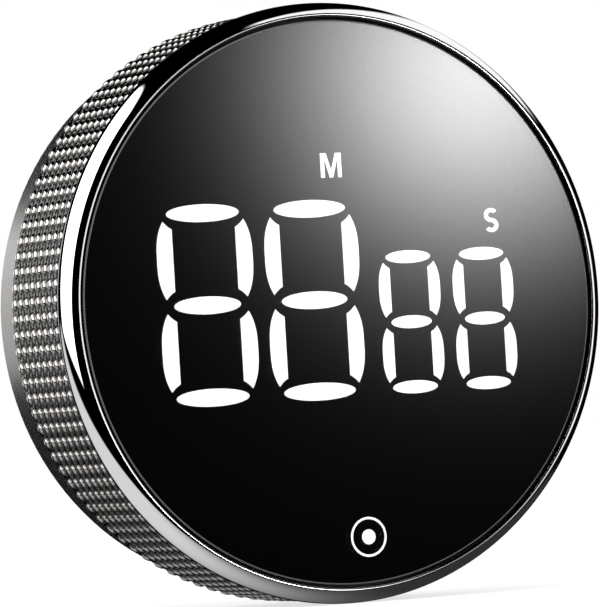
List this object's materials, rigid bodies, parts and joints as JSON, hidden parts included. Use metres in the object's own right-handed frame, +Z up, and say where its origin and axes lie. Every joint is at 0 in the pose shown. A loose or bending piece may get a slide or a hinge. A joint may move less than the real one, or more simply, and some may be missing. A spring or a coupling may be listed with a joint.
{
  "type": "rotary kitchen timer",
  "caption": "Round magnetic kitchen timer: a diamond-knurled ring with a chrome bezel turns round a black glass with lit digits; battery cover and volume slider on the back.",
  "frame": {"origin": "centre of the flat back, on the turning axis", "axes": "+Y out of the back along the turning axis, -Y out of the glass, +X to the right seen from the front, +Z up"},
  "size_m": [0.0784, 0.0276, 0.0784],
  "materials": {
    "smoked_glass": "polished black-backed glass",
    "bezel_chrome": "bright chrome plating",
    "grip_metal": "diamond-knurled gunmetal plating",
    "rear_gloss": "satin gunmetal plating",
    "segment_white": "translucent white, lit from behind",
    "tape_black": "black adhesive foam tape",
    "frame_black": "moulded black plastic",
    "film_smoke": "smoked diffuser film",
    "led_cream": "clear resin",
    "board_green": "green solder mask",
    "screw_steel": "zinc-plated steel",
    "chip_black": "moulded resin",
    "foam_grey": "conductive foam",
    "rotor_grey": "moulded acetal",
    "pinion_ivory": "natural acetal",
    "switch_steel": "tinned steel",
    "knob_black": "ribbed black plastic",
    "cover_charcoal": "fine-textured charcoal moulding",
    "cell_jacket": "plain printed foil jacket",
    "contact_nickel": "nickel-plated spring steel",
    "magnet_nickel": "nickel-plated magnet"
  },
  "bodies": {
    "case": {"front_lens": "smoked_glass", "rear_housing": "rear_gloss", "segment_lights": "segment_white", "lens_tape": "tape_black", "front_frame": "frame_black", "diffuser_film": "film_smoke", "reflector_block": "frame_black", "led_chips": "led_cream", "main_board": "board_green", "board_screws": "screw_steel", "controller_chip": "chip_black", "touch_pad": "foam_grey", "buzzer": "chip_black", "encoder_body": "switch_steel", "volume_switch": "switch_steel", "aaa_cells": "cell_jacket", "battery_plates": "contact_nickel", "battery_springs": "contact_nickel", "magnets": "magnet_nickel", "case_screws": "screw_steel"},
    "dial_ring": {"dial_rotor": "rotor_grey", "grip_ring": "grip_metal", "chrome_bezel": "bezel_chrome"},
    "pinion": {"encoder_pinion": "pinion_ivory"},
    "slider": {"volume_slider": "knob_black"},
    "cover": {"battery_cover": "cover_charcoal"}
  },
  "joints": [
    {"name": "dial_turn", "type": "hinge", "parent": "case", "child": "dial_ring", "pos_m": [0, 0, 0], "axis": [0, 1, 0], "continuous": true},
    {"name": "pinion_spin", "type": "hinge", "parent": "case", "child": "pinion", "pos_m": [0.028, 0, 0], "axis": [0, 1, 0], "continuous": true},
    {"name": "volume_slide", "type": "slide", "parent": "case", "child": "slider", "axis": [1, 0, 0], "range_m": [-0.0015, 0.0015]},
    {"name": "cover_tilt", "type": "hinge", "parent": "case", "child": "cover", "pos_m": [0, -0.0003, 0.0249], "axis": [1, 0, 0], "range_deg": [0, 40]}
  ],
  "couplings": [
    {"joint": "pinion_spin", "follows": "dial_turn", "ratio": 7.6667}
  ]
}
